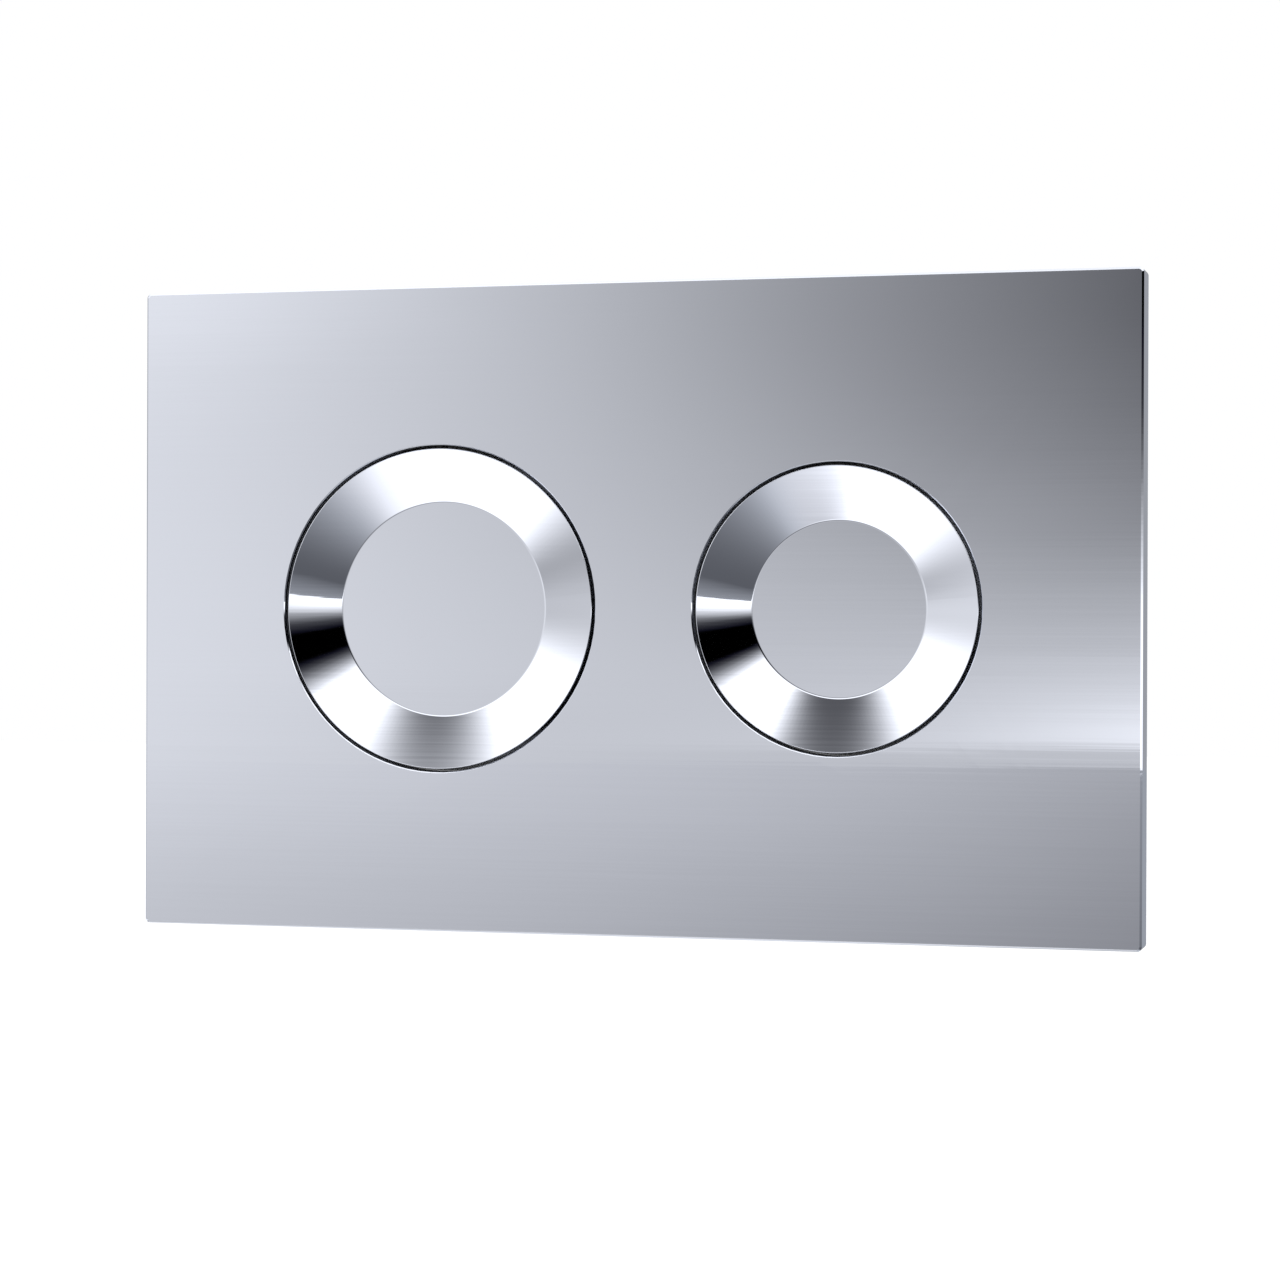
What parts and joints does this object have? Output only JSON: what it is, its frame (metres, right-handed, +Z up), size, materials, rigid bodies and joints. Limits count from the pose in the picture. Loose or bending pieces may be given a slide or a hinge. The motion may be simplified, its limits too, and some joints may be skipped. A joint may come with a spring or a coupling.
{
  "type": "flush button plate",
  "caption": "Flat rectangular steel wall plate with a large and a small dished round push button, on a snap-in frame with spring housings and rods that work a concealed flush valve.",
  "frame": {"origin": "middle of the plate in the plane of the wall, where the back of its rim lies", "axes": "+X to the right seen from the front, +Y into the wall, +Z up"},
  "size_m": [0.26, 0.099, 0.165],
  "materials": {
    "plate_steel": "satin, fine horizontal grain",
    "button_steel": "satin, fine horizontal grain",
    "housing_plastic": "moulded, fine texture",
    "frame_plastic": "moulded, fine texture",
    "plunger_plastic": "moulded, smooth",
    "rod_plastic": "moulded, smooth",
    "nut_plastic": "moulded, fine texture",
    "gasket_foam": "closed-cell foam",
    "buffer_rubber": "matt",
    "spring_steel": "drawn wire",
    "zinc_steel": "bright zinc plated"
  },
  "bodies": {
    "plate": {"face_plate": "plate_steel", "backing_plate": "housing_plastic", "backing_nuts": "zinc_steel", "mounting_frame": "frame_plastic", "wall_gasket": "gasket_foam", "fixing_rod_left": "zinc_steel", "fixing_nut_left": "nut_plastic", "fixing_washer_left": "zinc_steel", "fixing_rod_right": "zinc_steel", "fixing_nut_right": "nut_plastic", "fixing_washer_right": "zinc_steel", "full_housing": "housing_plastic", "full_housing_nuts": "zinc_steel", "full_buffer_ring": "buffer_rubber", "full_return_spring": "spring_steel", "half_housing": "housing_plastic", "half_housing_nuts": "zinc_steel", "half_buffer_ring": "buffer_rubber", "half_return_spring": "spring_steel"},
    "full_button": {"full_button_cap": "button_steel", "full_plunger": "plunger_plastic", "full_push_rod": "rod_plastic", "full_rod_nut": "rod_plastic"},
    "half_button": {"half_button_cap": "button_steel", "half_plunger": "plunger_plastic", "half_push_rod": "rod_plastic", "half_rod_nut": "rod_plastic"}
  },
  "joints": [
    {"name": "full_flush_press", "type": "slide", "parent": "plate", "child": "full_button", "axis": [0, 1, 0], "range_m": [0, 0.007], "stiffness_N_per_m": 700, "springref_m": -0.008, "deforming": ["full_return_spring"]},
    {"name": "half_flush_press", "type": "slide", "parent": "plate", "child": "half_button", "axis": [0, 1, 0], "range_m": [0, 0.007], "stiffness_N_per_m": 700, "springref_m": -0.008, "deforming": ["half_return_spring"]}
  ]
}
